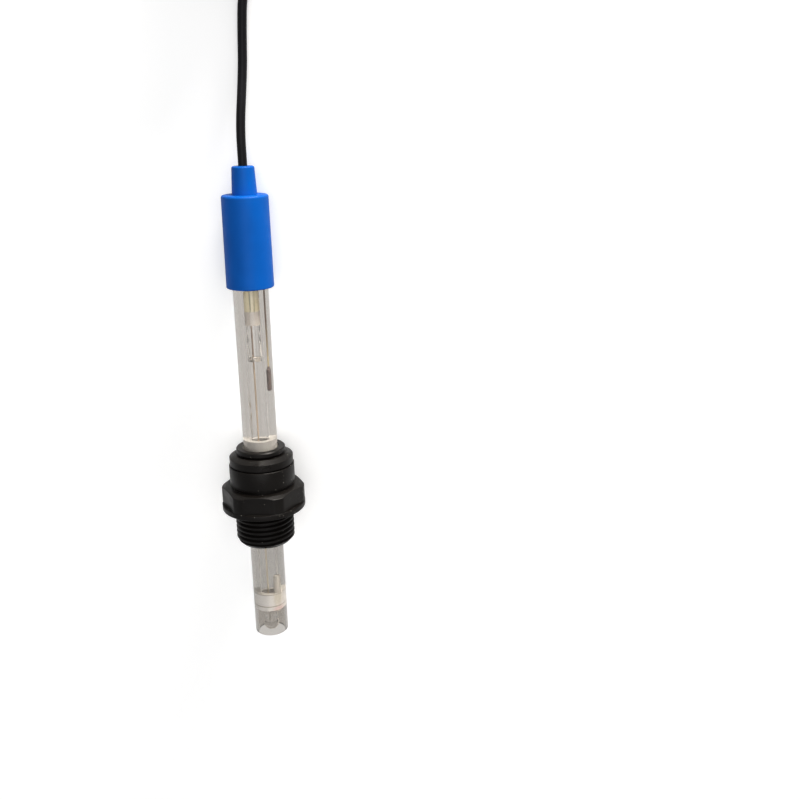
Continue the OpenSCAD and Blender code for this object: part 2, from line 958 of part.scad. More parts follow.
// The collar's outline: a plain front, and a raised grip behind it
module collar_profile() {
  out_r = collar_d / 2;
  back = collar_z + 0.1;
  grip_l = collar_l / 2 - 2 * soft_edge;
  polygon([
    [collar_bore_r, back], [out_r - 2 * soft_edge, back], [out_r, back + 2 * soft_edge],
    [out_r, collar_z + grip_l], [out_r - 0.5, collar_z + grip_l + 0.5],
    [out_r - 0.5, plug_front - soft_edge], [out_r - 0.5 - soft_edge, plug_front],
    [collar_bore_r, plug_front]
  ]);
}

module bnc_collar() {
  slot_w = 2.3;
  slot_l = 2;
  color("silver")
    on_plug()
      difference() {
        rotate_extrude()
          collar_profile();
        for (turn = [0, 180])
          rotate([0, 0, turn])
            translate([collar_bore_r - lap, -slot_w / 2, plug_front - slot_l])
              cube([collar_d / 2, slot_w, slot_l + lap]);
      }
}

cap();
outer_tube();
stem_tube();
resin_plug();
stem_plug();
cartridge_tube();
cartridge_cotton();
inner_wire();
reference_wire();
reference_element();
middle_plug();
lower_plug();
end_seal();
junction_rod();
head_potting();
cable_tail();
core_lead();
shield_lead();
fitting_body();
retainer_ring();
collet();
grip_teeth();
o_ring();
support_ring();
cord_run();
cord_hank();
cord_tail();
hank_tie();
bnc_body();
bnc_collar();
bnc_pin();
bnc_insulator();
bnc_ferrule();
bnc_boot();
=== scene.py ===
import json
import math

import bpy
from mathutils import Matrix, Vector


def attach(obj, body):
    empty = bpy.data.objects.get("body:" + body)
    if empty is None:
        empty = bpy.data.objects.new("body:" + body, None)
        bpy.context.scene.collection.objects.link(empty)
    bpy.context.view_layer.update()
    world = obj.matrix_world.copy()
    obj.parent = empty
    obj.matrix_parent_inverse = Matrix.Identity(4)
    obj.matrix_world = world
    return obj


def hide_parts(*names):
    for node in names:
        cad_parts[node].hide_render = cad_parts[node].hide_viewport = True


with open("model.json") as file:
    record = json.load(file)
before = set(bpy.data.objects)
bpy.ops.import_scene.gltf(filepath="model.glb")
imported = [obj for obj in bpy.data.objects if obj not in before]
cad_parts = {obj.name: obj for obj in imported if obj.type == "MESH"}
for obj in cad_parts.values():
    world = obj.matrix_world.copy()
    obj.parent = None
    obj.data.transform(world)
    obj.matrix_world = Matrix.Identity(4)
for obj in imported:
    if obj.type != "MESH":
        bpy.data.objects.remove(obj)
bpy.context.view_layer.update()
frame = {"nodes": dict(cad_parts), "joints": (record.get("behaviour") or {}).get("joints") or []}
NODES = frame["nodes"]
JOINTS = {joint["name"]: joint for joint in frame["joints"]}
MM = 0.001
TINY = 1e-12

# The electrode's sizes, with heights along its axis from the tip
INSERTION = 50.4 * MM
TUBE_R = 6 * MM
TUBE_WALL = 1.1 * MM
TUBE_TOP = 146 * MM
TUBE_EDGE = 0.7 * MM
SKIRT_L = 10 * MM
STEM_R = 2.35 * MM
STEM_WALL = 0.4 * MM
STEM_TOP = 141 * MM
LINES_TOP = 46 * MM
BULB_R = 2.7 * MM
BULB_WALL = 0.3 * MM
BULB_Z = 3 * MM
CABLE_R = 1.5 * MM

# The cable's route from the neck to the hank, and from the hank to the plug, in metres
CORD_ROUTE = [
    (0, 0.0847, 0.0071), (0, 0.089, 0.0068), (0, 0.093, 0.0065), (0.0001, 0.097, 0.0059),
    (0.0003, 0.101, 0.005), (0.0006, 0.105, 0.0039), (0.0009, 0.109, 0.0029),
    (0.0012, 0.113, 0.0021), (0.0015, 0.117, 0.0017), (0.0018, 0.122, 0.0016),
    (0.0022, 0.128, 0.0016), (0.0028, 0.134, 0.0016), (0.004, 0.139, 0.0016),
    (0.0062, 0.144, 0.0016),
]
TAIL_ROUTE = [
    (0.0084, 0.204, 0.0082), (0.0066, 0.2066, 0.009), (0.0036, 0.2082, 0.0099),
    (0.0002, 0.2082, 0.0106), (-0.0029, 0.2066, 0.0111), (-0.0046, 0.2038, 0.0112),
    (-0.005, 0.2004, 0.0112), (-0.005, 0.197, 0.0112), (-0.005, 0.1945, 0.0115),
    (-0.005, 0.192, 0.012),
]
HANK_Y = 178 * MM
HANK_END_Y = 23.5 * MM
HANK_TURNS = 5.35
PLUG_TAIL = Vector(TAIL_ROUTE[-1])
PLUG_AXIS = Vector(JOINTS["bayonet_turn"]["axis"]).normalized()
# How far past the route's end the cable's last points lie, up to the plug's body
INTO_PLUG = (6 * MM, 12 * MM, 19 * MM)


def electrode_matrix():
    """From the electrode's own axes, with z towards the cable and -y upwards, to the frame."""
    ahead = Vector(JOINTS["fitting_swivel"]["axis"]).normalized()
    side = Vector((1, 0, 0))
    turn = Matrix((side, ahead.cross(side), ahead)).transposed().to_4x4()
    face = Vector(JOINTS["fitting_swivel"]["pos_m"])
    return Matrix.Translation(face - ahead * INSERTION) @ turn


AXIS = electrode_matrix()
ADAPTOR = AXIS @ Matrix.Translation((0, 0, INSERTION))


# The view, the lamps and the floor

VIEW_FROM = (0.05635, 0.12683, 0.3246)
VIEW_AHEAD = (-0.02, -0.364, -0.9312)
VIEW_RIGHT = (0.9997, -0.0173, -0.0148)
LENS = 43.38
SENSOR = 36
NEAREST = 10 * MM
KEY_POWER = 11.0
KEY_FROM = (0.25, 0.69, 0.06)
KEY_AT = (0, 0, 0.015)
KEY_WIDE = 0.32
KEY_HIGH = 0.11
KEY_TONE = (1.0, 0.95, 0.88)
ABOVE_POWER = 0.9
ABOVE_FROM = (0.15, 0.2, 1)
ABOVE_SPREAD = 50
WORLD_LIGHT = 0.5
GLASS_BOUNCES = 24
CLEAR_BOUNCES = 32
FLOOR_HALF = 3.0
FLOOR_TONE = (0.88, 0.88, 0.88)
FLOOR_GLOW = 0.3


def link(piece):
    bpy.context.scene.collection.objects.link(piece)
    return piece


def camera():
    """The photograph's view: from above, a little beyond the cap, with no shift."""
    ahead = Vector(VIEW_AHEAD).normalized()
    down = ahead.cross(Vector(VIEW_RIGHT)).normalized()
    right = down.cross(ahead).normalized()
    data = bpy.data.cameras.new("camera")
    data.lens = LENS
    data.sensor_width = SENSOR
    data.clip_start = NEAREST
    turn = Matrix((right, -down, -ahead)).transposed().to_4x4()
    found = link(bpy.data.objects.new("camera", data))
    found.matrix_world = Matrix.Translation(VIEW_FROM) @ turn
    bpy.context.scene.camera = found


def lamp(name, kind, power, place, target):
    """A lamp at a place that faces a point."""
    data = bpy.data.lights.new(name, kind)
    data.energy = power
    found = link(bpy.data.objects.new(name, data))
    found.location = place
    found.rotation_mode = "QUATERNION"
    aim = Vector(target) - Vector(place)
    found.rotation_quaternion = aim.to_track_quat("-Z", "Y")
    return data


def pale_world():
    """A world that is white where it is seen, also through glass, and lights at half of that."""
    world = bpy.data.worlds.new("world")
    bpy.context.scene.world = world
    tree = tree_of(world)
    back = add(tree, "ShaderNodeBackground")
    back.inputs["Color"].default_value = (1, 1, 1, 1)
    join(tree, ramp(tree, seen_through(tree), WORLD_LIGHT, 1.0), back.inputs["Strength"])
    end = add(tree, "ShaderNodeOutputWorld")
    join(tree, back.outputs["Background"], end.inputs["Surface"])


def studio():
    """A low soft lamp past the cable, weaker broad light from above, and the world."""
    pale_world()
    key = lamp("key", "AREA", KEY_POWER, KEY_FROM, KEY_AT)
    key.color = KEY_TONE
    key.shape = "RECTANGLE"
    key.size = KEY_WIDE
    key.size_y = KEY_HIGH
    above = lamp("above", "SUN", ABOVE_POWER, ABOVE_FROM, (0, 0, 0))
    above.angle = math.radians(ABOVE_SPREAD)
    bpy.context.scene.view_settings.view_transform = "Standard"
    cycles = bpy.context.scene.cycles
    cycles.max_bounces = GLASS_BOUNCES
    cycles.transmission_bounces = GLASS_BOUNCES
    cycles.transparent_max_bounces = CLEAR_BOUNCES


def floor_white():
    """White that keeps the object's shadow, and is plain white through glass."""
    material = bpy.data.materials.new("floor_white")
    tree = tree_of(material)
    glow = add(tree, "ShaderNodeEmission")
    join(tree, ramp(tree, seen_through(tree), 0.0, FLOOR_GLOW), glow.inputs["Strength"])
    white = add(tree, "ShaderNodeBsdfDiffuse")
    white.inputs["Color"].default_value = (*FLOOR_TONE, 1)
    total = add(tree, "ShaderNodeAddShader")
    join(tree, white.outputs["BSDF"], total.inputs[0])
    join(tree, glow.outputs["Emission"], total.inputs[1])
    plain = add(tree, "ShaderNodeEmission").outputs["Emission"]
    glassy = light_path(tree, "Is Transmission Ray")
    out(tree, one_or_other(tree, glassy, total.outputs["Shader"], plain))
    return material


def floor():
    half = FLOOR_HALF
    mesh = bpy.data.meshes.new("floor")
    corners = [(-half, -half, 0), (half, -half, 0), (half, half, 0), (-half, half, 0)]
    mesh.from_pydata(corners, [], [(0, 1, 2, 3)])
    mesh.materials.append(floor_white())
    link(bpy.data.objects.new("floor", mesh))


# Nodes of a material

# The Mix node's colour sockets, by place, because its other kinds share their names
MIX_FIRST = 6
MIX_SECOND = 7
MIX_RESULT = 2


def tree_of(owner):
    """The owner's node tree, emptied."""
    owner.use_nodes = True
    owner.node_tree.nodes.clear()
    return owner.node_tree


def add(tree, kind, **settings):
    node = tree.nodes.new(kind)
    for name, value in settings.items():
        setattr(node, name, value)
    return node


def join(tree, source, target):
    tree.links.new(source, target)


def out(tree, shader):
    join(tree, shader, add(tree, "ShaderNodeOutputMaterial").inputs["Surface"])


def light_path(tree, name):
    return add(tree, "ShaderNodeLightPath").outputs[name]


def at_rest(tree):
    """A point's place in its object, which is its place in the frame at rest."""
    return add(tree, "ShaderNodeTexCoord").outputs["Object"]


def calculated(tree, operation, *values):
    """A Math node over numbers and other nodes' outputs."""
    node = add(tree, "ShaderNodeMath", operation=operation)
    for value, socket in zip(values, node.inputs):
        if isinstance(value, (int, float)):
            socket.default_value = value
        else:
            join(tree, value, socket)
    return node.outputs["Value"]


def seen_through(tree):
    """1 for what the camera sees, straight or through glass, and 0 for other light."""
    straight = light_path(tree, "Is Camera Ray")
    return calculated(tree, "MAXIMUM", straight, light_path(tree, "Is Transmission Ray"))


def one_or_other(tree, share, first, second):
    """The first shader where the share is 0, and the second where it is 1."""
    node = add(tree, "ShaderNodeMixShader")
    join(tree, share, node.inputs["Fac"])
    join(tree, first, node.inputs[1])
    join(tree, second, node.inputs[2])
    return node.outputs["Shader"]


def principled(tree, colour, roughness, **settings):
    shader = add(tree, "ShaderNodeBsdfPrincipled")
    shader.inputs["Base Color"].default_value = (*colour, 1)
    shader.inputs["Roughness"].default_value = roughness
    for name, value in settings.items():
        shader.inputs[name.replace("_", " ")].default_value = value
    return shader


def along(tree, stretch):
    """Places in the electrode's own axes, drawn out along its z."""
    mapping = add(tree, "ShaderNodeMapping", vector_type="TEXTURE")
    mapping.inputs["Location"].default_value = AXIS.to_translation()
    mapping.inputs["Rotation"].default_value = AXIS.to_euler()
    mapping.inputs["Scale"].default_value = (1, 1, stretch)
    join(tree, at_rest(tree), mapping.inputs["Vector"])
    return mapping.outputs["Vector"]


def height(tree):
    """How far along the electrode a point lies from the tip, in metres."""
    split = add(tree, "ShaderNodeSeparateXYZ")
    join(tree, along(tree, 1), split.inputs["Vector"])
    return split.outputs["Z"]


def noise(tree, scale, detail, places=None):
    node = add(tree, "ShaderNodeTexNoise")
    node.inputs["Scale"].default_value = scale
    node.inputs["Detail"].default_value = detail
    if places is None:
        places = at_rest(tree)
    join(tree, places, node.inputs["Vector"])
    return node.outputs["Fac"]


def ramp(tree, source, low, high, start=0.0, end=1.0):
    """A value carried from one range to another, and held at its ends."""
    node = add(tree, "ShaderNodeMapRange")
    node.inputs["From Min"].default_value = start
    node.inputs["From Max"].default_value = end
    node.inputs["To Min"].default_value = low
    node.inputs["To Max"].default_value = high
    join(tree, source, node.inputs["Value"])
    return node.outputs["Result"]


def mixed(tree, share, first, second):
    """A colour between two, each a colour or another node's output."""
    node = add(tree, "ShaderNodeMix", data_type="RGBA")
    join(tree, share, node.inputs["Factor"])
    for value, place in ((first, MIX_FIRST), (second, MIX_SECOND)):
        socket = node.inputs[place]
        if isinstance(value, tuple):
            socket.default_value = (*value, 1)
        else:
            join(tree, value, socket)
    return node.outputs[MIX_RESULT]


def bumped(tree, relief, depth, under=None):
    """A normal raised by a relief, over another normal if there is one."""
    node = add(tree, "ShaderNodeBump")
    node.inputs["Distance"].default_value = depth
    join(tree, relief, node.inputs["Height"])
    if under is not None:
        join(tree, under, node.inputs["Normal"])
    return node.outputs["Normal"]


def soft_edges(tree, radius):
    node = add(tree, "ShaderNodeBevel", samples=4)
    node.inputs["Radius"].default_value = radius
    return node.outputs["Normal"]


def specks(tree, size, share):
    """1 in small round specks that lie here and there, and 0 elsewhere."""
    spacing = 6 * size
    cells = add(tree, "ShaderNodeTexVoronoi")
    cells.inputs["Scale"].default_value = 1 / spacing
    join(tree, at_rest(tree), cells.inputs["Vector"])
    dot = ramp(tree, cells.outputs["Distance"], 1.0, 0.0, start=0.06, end=0.12)
    pick = add(tree, "ShaderNodeSeparateColor")
    join(tree, cells.outputs["Color"], pick.inputs["Color"])
    some = calculated(tree, "LESS_THAN", pick.outputs["Red"], share)
    return calculated(tree, "MULTIPLY", dot, some)


def spot(tree, centre, size):
    """1 inside a soft ellipsoid in the electrode's axes, in mm, and 0 outside it."""
    mapping = add(tree, "ShaderNodeMapping", vector_type="TEXTURE")
    mapping.inputs["Location"].default_value = [MM * value for value in centre]
    mapping.inputs["Scale"].default_value = [MM * value for value in size]
    join(tree, along(tree, 1), mapping.inputs["Vector"])
    reach = add(tree, "ShaderNodeVectorMath", operation="LENGTH")
    join(tree, mapping.outputs["Vector"], reach.inputs[0])
    return ramp(tree, reach.outputs["Value"], 1, 0, start=0.5, end=1.1)


def band(tree, z, half):
    """1 on a thin line round the electrode at a height in mm, and 0 away from it."""
    off = calculated(tree, "SUBTRACT", height(tree), z * MM)
    away = calculated(tree, "ABSOLUTE", off)
    return ramp(tree, away, 1, 0, start=0.6 * half * MM, end=1.4 * half * MM)


# Kinds of material

# Scales of the noise, from broad tones to fine grain
TONE_SCALE = 90
WAVE_SCALE = 130
GLOSS_SCALE = 300
TARNISH_SCALE = 400
LINE_SCALE = 420
BAND_SCALE = 500
DASH_SCALE = 900
STREAK_SCALE = 1500
MARK_SCALE = 1800
GRAIN_SCALE = 2200

# Depths of the relief, how far the gloss of plastic varies, and dust on it
GRAIN_DEPTH = 0.012 * MM
MARK_DEPTH = 0.0012 * MM
LINE_DEPTH = 0.0001 * MM
GLOSS_SPREAD = 0.07
DUST_SIZE = 0.2 * MM
DUST_TONE = (0.25, 0.24, 0.21)

# Refraction of glass in air, and the weaker one where glass meets gel or buffer
GLASS_IOR = 1.5
TUBE_GEL_IOR = 1.11
STEM_GEL_IOR = 1.12
CARTRIDGE_IOR = 1.3

# What glass passes, and the tones of its rims, which are painted highlights with dashes of
# painted shade
UNTINTED = (1, 1, 1)
SHADOW_PASS = (0.97, 0.97, 0.97)
RIM_HIGHLIGHT_TONE = (0.9, 0.87, 0.82)
DASH_HIGHLIGHT = (0.95, 0.92, 0.86)
DASH_SHADE = (0.03, 0.025, 0.02)


def plastic(name, colour, other, roughness, gloss=0.5, edge=0.0, wave=0.0, dust=0.0):
    """Moulded plastic: two near tones, uneven gloss, a fine grain and softened edges."""
    material = bpy.data.materials.new(name)
    tree = tree_of(material)
    shader = principled(tree, colour, roughness, Specular_IOR_Level=gloss)
    cloud = ramp(tree, noise(tree, TONE_SCALE, 4), 0, 1, start=0.35, end=0.65)
    tone = mixed(tree, cloud, colour, other)
    if dust:
        tone = mixed(tree, specks(tree, DUST_SIZE, dust), tone, DUST_TONE)
    join(tree, tone, shader.inputs["Base Color"])
    smooth = roughness - GLOSS_SPREAD
    dull = roughness + GLOSS_SPREAD
    uneven = ramp(tree, noise(tree, GLOSS_SCALE, 3), smooth, dull, start=0.3, end=0.7)
    join(tree, uneven, shader.inputs["Roughness"])
    normal = soft_edges(tree, edge) if edge else None
    if wave:
        normal = bumped(tree, noise(tree, WAVE_SCALE, 1), wave, normal)
    normal = bumped(tree, noise(tree, GRAIN_SCALE, 2), GRAIN_DEPTH, normal)
    join(tree, normal, shader.inputs["Normal"])
    out(tree, shader.outputs["BSDF"])
    return material


def metal(name, colour, roughness, edge=0.0):
    """Metal with a little tarnish, and fine marks that make its gloss uneven."""
    material = bpy.data.materials.new(name)
    tree = tree_of(material)
    shader = principled(tree, colour, roughness, Metallic=1.0)
    marks = noise(tree, MARK_SCALE, 3, along(tree, 1))
    tarnished = tuple(0.8 * value for value in colour)
    tone = mixed(tree, noise(tree, TARNISH_SCALE, 3), colour, tarnished)
    join(tree, tone, shader.inputs["Base Color"])
    smooth = 0.7 * roughness
    dull = 1.4 * roughness
    uneven = ramp(tree, marks, smooth, dull, start=0.3, end=0.7)
    join(tree, uneven, shader.inputs["Roughness"])
    normal = soft_edges(tree, edge) if edge else None
    join(tree, bumped(tree, marks, MARK_DEPTH, normal), shader.inputs["Normal"])
    out(tree, shader.outputs["BSDF"])
    return material


def drawn_lines_and_light_bands(tree, shader, tint):
    """Fine relief along the glass, as its drawing leaves it, and lighter bands in its tint,
    which are painted streaks of light.
    """
    lines = noise(tree, LINE_SCALE, 1, along(tree, 200))
    join(tree, bumped(tree, lines, LINE_DEPTH), shader.inputs["Normal"])
    # Painted light: bands where the tint is a little lighter
    lighter = tuple(min(1.0, 1.08 * value) for value in tint)
    bands = noise(tree, BAND_SCALE, 1, along(tree, 400))
    share = ramp(tree, bands, 0, 1, start=0.4, end=0.6)
    join(tree, mixed(tree, share, tint, lighter), shader.inputs["Base Color"])


def painted_highlight_rim(tree, glass, rim, dashes):
    """Glass that turns pale where it is seen edge on, a painted highlight, or into dark and pale
    dashes of painted shade and painted highlight.
    """
    most, begin, full = rim
    pale = add(tree, "ShaderNodeBsdfDiffuse")
    pale.inputs["Color"].default_value = (*RIM_HIGHLIGHT_TONE, 1)
    if dashes:
        marks = noise(tree, DASH_SCALE, 2, along(tree, 2))
        broken = ramp(tree, marks, 0, 1, start=0.46, end=0.54)
        join(tree, mixed(tree, broken, DASH_HIGHLIGHT, DASH_SHADE), pale.inputs["Color"])
    edge_on = add(tree, "ShaderNodeLayerWeight").outputs["Facing"]
    share = ramp(tree, edge_on, 0, most, begin, full)
    return one_or_other(tree, share, glass, pale.outputs["BSDF"])


def clear(name, tint, ior, drawn=False, rim=None, dashes=False):
    """Clear glass that lets lamp light in, with drawing lines and painted light bands, or a pale
    rim that is a painted highlight.

    A rim is its greatest share, and how far edge on it begins and gets there.
    """
    material = bpy.data.materials.new(name)
    tree = tree_of(material)
    shader = principled(tree, tint, 0.0, IOR=ior, Transmission_Weight=1.0)
    if drawn:
        drawn_lines_and_light_bands(tree, shader, tint)
    glass = shader.outputs["BSDF"]
    if rim:
        glass = painted_highlight_rim(tree, glass, rim, dashes)
    through = add(tree, "ShaderNodeBsdfTransparent")
    through.inputs["Color"].default_value = (*SHADOW_PASS, 1)
    shadow = light_path(tree, "Is Shadow Ray")
    out(tree, one_or_other(tree, shadow, glass, through.outputs["BSDF"]))
    return material


def recolour(material, change):
    """Runs the base colour through a change that is made in the material's own nodes."""
    tree = material.node_tree
    shader = next(node for node in tree.nodes if node.type == "BSDF_PRINCIPLED")
    socket = shader.inputs["Base Color"]
    join(tree, change(tree, socket.links[0].from_socket), socket)
    return material


def paint(material, *nodes):
    """Gives CAD nodes that material."""
    for node in nodes:
        data = NODES[node].data
        data.materials.clear()
        data.materials.append(material)


# The materials

def cable_jacket():
    return plastic(
        "cable_jacket", (0.004, 0.0035, 0.0045), (0.007, 0.0065, 0.008), 0.42, gloss=0.12,
    )


def moulded_blue():
    return plastic(
        "blue_plastic", (0.0, 0.073, 0.345), (0.0, 0.082, 0.385), 0.46, gloss=0.10,
        wave=0.05 * MM,
    )


def moulded_black():
    return plastic(
        "black_plastic", (0.0040, 0.0032, 0.0027), (0.006, 0.0051, 0.0044), 0.34,
        gloss=0.14, edge=0.12 * MM, dust=0.2,
    )


def stained_plug():
    """White plug with lines at its rim and joint, the rod's shade in it, a pink stain, and
    painted light on its top face, which has a tone of its own.
    """
    rod_tone = (0.61, 0.57, 0.49)
    pink_tone = (0.72, 0.55, 0.52)
    line_tone = (0.36, 0.33, 0.29)
    painted_light_top_tone = (0.72, 0.68, 0.62)

    def change(tree, before):
        rod = spot(tree, (3.2, -3.4, 15), (1.9, 3, 4.4))
        pink = spot(tree, (3.3, -3.3, 10), (2.2, 3, 2.2))
        shown = mixed(tree, rod, before, rod_tone)
        shown = mixed(tree, pink, shown, pink_tone)
        shown = mixed(tree, band(tree, 16.5, 0.12), shown, line_tone)
        shown = mixed(tree, band(tree, 11.7, 0.2), shown, line_tone)
        # Painted light: the top face's own tone stands in for how it is lit
        top = ramp(tree, height(tree), 0, 1, start=16.6 * MM, end=16.7 * MM)
        return mixed(tree, top, shown, painted_light_top_tone)

    return recolour(plastic("white_plug", (0.73, 0.70, 0.67), (0.79, 0.76, 0.73), 0.6), change)


def yellow_resin():
    """Pale yellow resin with two olive lines along it."""
    olive = (0.15, 0.145, 0.07)

    def change(tree, before):
        shown = before
        for x, wide in ((-0.1, 0.3), (0.9, 0.35)):
            line = spot(tree, (x, -2, 130), (wide, 3, 12))
            marks = noise(tree, DASH_SCALE, 2, along(tree, 5))
            broken = ramp(tree, marks, 0.3, 1, start=0.4, end=0.6)
            shown = mixed(tree, calculated(tree, "MULTIPLY", line, broken), shown, olive)
        return shown

    return recolour(plastic("yellow_resin", (0.74, 0.64, 0.43), (0.80, 0.71, 0.49), 0.3), change)


def tube_glass():
    """The tube's outside: drawing lines, a darker end and a faint brown streak on top; its tint,
    darker at the end, is painted shade on what is seen through it.

    Light on its way to the pieces inside passes it without the tint, so they stay bright.
    """
    # Painted shade: tints that dim what is seen through the clear tube, more at its lower end
    painted_shade_tint = (0.465, 0.437, 0.405)
    painted_shade_end_tint = (0.365, 0.345, 0.32)
    brown = (0.20, 0.14, 0.07)

    def change(tree, before):
        # Painted shade: the darker tint over the lower end
        end = ramp(tree, height(tree), 1, 0, start=42 * MM, end=50 * MM)
        shown = mixed(tree, end, before, painted_shade_end_tint)
        streak = spot(tree, (-1.7, -5.75, 86), (0.5, 1, 10))
        marks = noise(tree, STREAK_SCALE, 3, along(tree, 4))
        broken = ramp(tree, marks, 0.2, 1, start=0.4, end=0.6)
        shown = mixed(tree, calculated(tree, "MULTIPLY", streak, broken), shown, brown)
        inner_light = ramp(tree, light_path(tree, "Diffuse Depth"), 0, 1)
        return mixed(tree, inner_light, shown, UNTINTED)

    return recolour(clear("tube_outside", painted_shade_tint, GLASS_IOR, drawn=True), change)


def toned_wire(name, *tones):
    """Thin wire that turns from tone to tone, each over its own heights in mm."""
    first = tones[0][0]

    def change(tree, before):
        for colour, begin, full in tones:
            share = ramp(tree, height(tree), 0, 1, start=begin * MM, end=full * MM)
            before = mixed(tree, share, before, colour)
        return before

    return recolour(metal(name, first, 0.45), change)


# Turned meshes

FINE_SIDES = 128
STEM_SIDES = 96
GLASS_SHARP = 35
BODY_SHARP = 50


def ring_mesh(name, rings, slots, matrix, sharp):
    """Rings of points joined in turn, the last to the first: up outside and down inside."""
    points = []
    firsts = []
    for ring, _ in rings:
        firsts.append(len(points))
        points.extend(matrix @ point for point in ring)
    faces = []
    chosen = []
    for i, (ring, slot) in enumerate(rings):
        after = rings[(i + 1) % len(rings)][0]
        low = firsts[i]
        high = firsts[(i + 1) % len(rings)]
        sides = max(len(ring), len(after))
        for k in range(sides if sides > 1 else 0):
            n = (k + 1) % sides
            corners = (
                low + k % len(ring), low + n % len(ring),
                high + n % len(after), high + k % len(after),
            )
            faces.append(tuple(dict.fromkeys(corners)))
            chosen.append(slot)
    mesh = bpy.data.meshes.new(name)
    mesh.from_pydata(points, [], faces)
    mesh.polygons.foreach_set("use_smooth", [True] * len(faces))
    for slot in slots:
        mesh.materials.append(slot)
    mesh.polygons.foreach_set("material_index", chosen)
    mesh.set_sharp_from_angle(angle=math.radians(sharp))
    return link(bpy.data.objects.new(name, mesh))


def circle(radius, z, sides):
    """A ring of points, or one point where the radius is nothing."""
    if radius < TINY:
        return [Vector((0, 0, z))]
    turns = [2 * math.pi * k / sides for k in range(sides)]
    return [Vector((radius * math.cos(t), radius * math.sin(t), z)) for t in turns]


def lathe(name, profile, slots, sides):
    """An outline of (radius, z, slot), up the outside and down the inside, turned round."""
    rings = [(circle(radius, z, sides), slot) for radius, z, slot in profile]
    return ring_mesh(name, rings, slots, AXIS, GLASS_SHARP)


def arc(centre, radius, start, end, steps, slot=0):
    """Points along an arc in the (radius, z) half plane, angles in degrees."""
    turns = [math.radians(start + (end - start) * i / steps) for i in range(steps + 1)]
    return [
        (centre[0] + radius * math.cos(t), centre[1] + radius * math.sin(t), slot)
        for t in turns
    ]


def fitted(piece, body, slot, *nodes):
    """A piece that stands for CAD nodes, which it hides, on a body."""
    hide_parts(*nodes)
    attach(piece, body)


# The glass

TUBE_EDGE_STEPS = 8
BULB_STEPS = 24


def tube(outside, against_gel, skirt):
    """The outer tube: its faces meet air outside and in the skirt, and gel above it."""
    air, gel, open_end = range(3)
    inner = TUBE_R - TUBE_WALL
    profile = [(inner, 0, air)]
    profile += arc((TUBE_R - TUBE_EDGE, TUBE_EDGE), TUBE_EDGE, -90, 0, TUBE_EDGE_STEPS, air)
    profile += [(TUBE_R, TUBE_TOP, air), (inner, TUBE_TOP, gel), (inner, SKIRT_L, open_end)]
    piece = lathe("tube_shell", profile, [outside, against_gel, skirt], FINE_SIDES)
    fitted(piece, "electrode", "tube_clear", "outer_tube")


def stem(bare, in_gel, inside, near_tip):
    """The stem and its bulb: bare in the skirt, and in gel above it."""
    air, gel, bore_side, low_gel = range(4)
    bore = STEM_R - STEM_WALL
    inner_r = BULB_R - BULB_WALL
    reach = math.degrees(math.acos(STEM_R / BULB_R))
    inner_reach = math.degrees(math.acos(bore / inner_r))
    profile = arc((0, BULB_Z), BULB_R, -90, reach, BULB_STEPS, air)
    profile[0] = (0, BULB_Z - BULB_R, air)
    profile += [(STEM_R, SKIRT_L, low_gel), (STEM_R, LINES_TOP, gel)]
    profile += [(STEM_R, STEM_TOP, gel), (bore, STEM_TOP, bore_side)]
    profile += arc((0, BULB_Z), inner_r, inner_reach, -90, BULB_STEPS, bore_side)
    profile[-1] = (0, BULB_Z - inner_r, bore_side)
    piece = lathe("stem_glass", profile, [bare, in_gel, inside, near_tip], STEM_SIDES)
    fitted(piece, "electrode", "stem_glass", "stem_tube")


# The adaptor's body, with heights from the face under its flange

FACE_R = 13.5 * MM
CORNER_R = 14.7 * MM
FLANGE_R = 14.8 * MM
FLANGE_T = 1.9 * MM
HEX_L = 8.4 * MM
HEX_TOP_R = 13.1 * MM
HEX_SHOULDER = 7.55 * MM
GROOVE_R = 10.8 * MM
SHELL_Z = 9.4 * MM
SHELL_R = 11.5 * MM
SHELL_TOP = 16.4 * MM
SPIGOT_R = 10.23 * MM
SPIGOT_Z = 12.37 * MM
POCKET_R = 8.2 * MM
POCKET_Z = 3.4 * MM
BORE_R = 6.15 * MM
CREST_R = 10.4 * MM
ROOT_R = 9.238 * MM
PITCH = 1.814 * MM
CREST_FLAT = 1 / 12
FLANK = 1 / 3
THREAD_L = 13.1 * MM
THREAD_LEAD = 1.9 * MM
CREST_Z = -12.19 * MM
CREST_TURN = 0.25
FADE_Z = -1.5 * MM
FADE_L = 1.2 * MM
EDGE = 0.3 * MM
LEDGE_EDGE = 0.1 * MM
CREASE = 0.22 * MM
BODY_SIDES = 320
EDGE_STEPS = 4
STEPS_A_PITCH = 16
CHAMFER_STEPS = 18


def smooth_min(a, b):
    """The smaller of two radii, with the crease between them rounded."""
    near = max(CREASE - abs(a - b), 0) / CREASE
    return min(a, b) - near * near * CREASE / 4


def eased(value):
    """From 0 to 1 with a soft start and end, and held outside that."""
    value = min(max(value, 0.0), 1.0)
    return value * value * (3 - 2 * value)


def thread_radius(turn, z):
    """A right-handed thread that starts on a taper and runs out below the flange."""
    round_by = turn / (2 * math.pi) + CREST_TURN
    from_crest = abs(((z - CREST_Z) / PITCH - round_by + 0.5) % 1 - 0.5)
    rise = 1 - eased((from_crest - CREST_FLAT) / FLANK)
    fade = eased((FADE_Z - z) / FADE_L)
    taper = ROOT_R - EDGE + (z + THREAD_L) * (CREST_R + 2 * EDGE - ROOT_R) / THREAD_LEAD
    return smooth_min(ROOT_R + (CREST_R - ROOT_R) * rise * fade, taper)


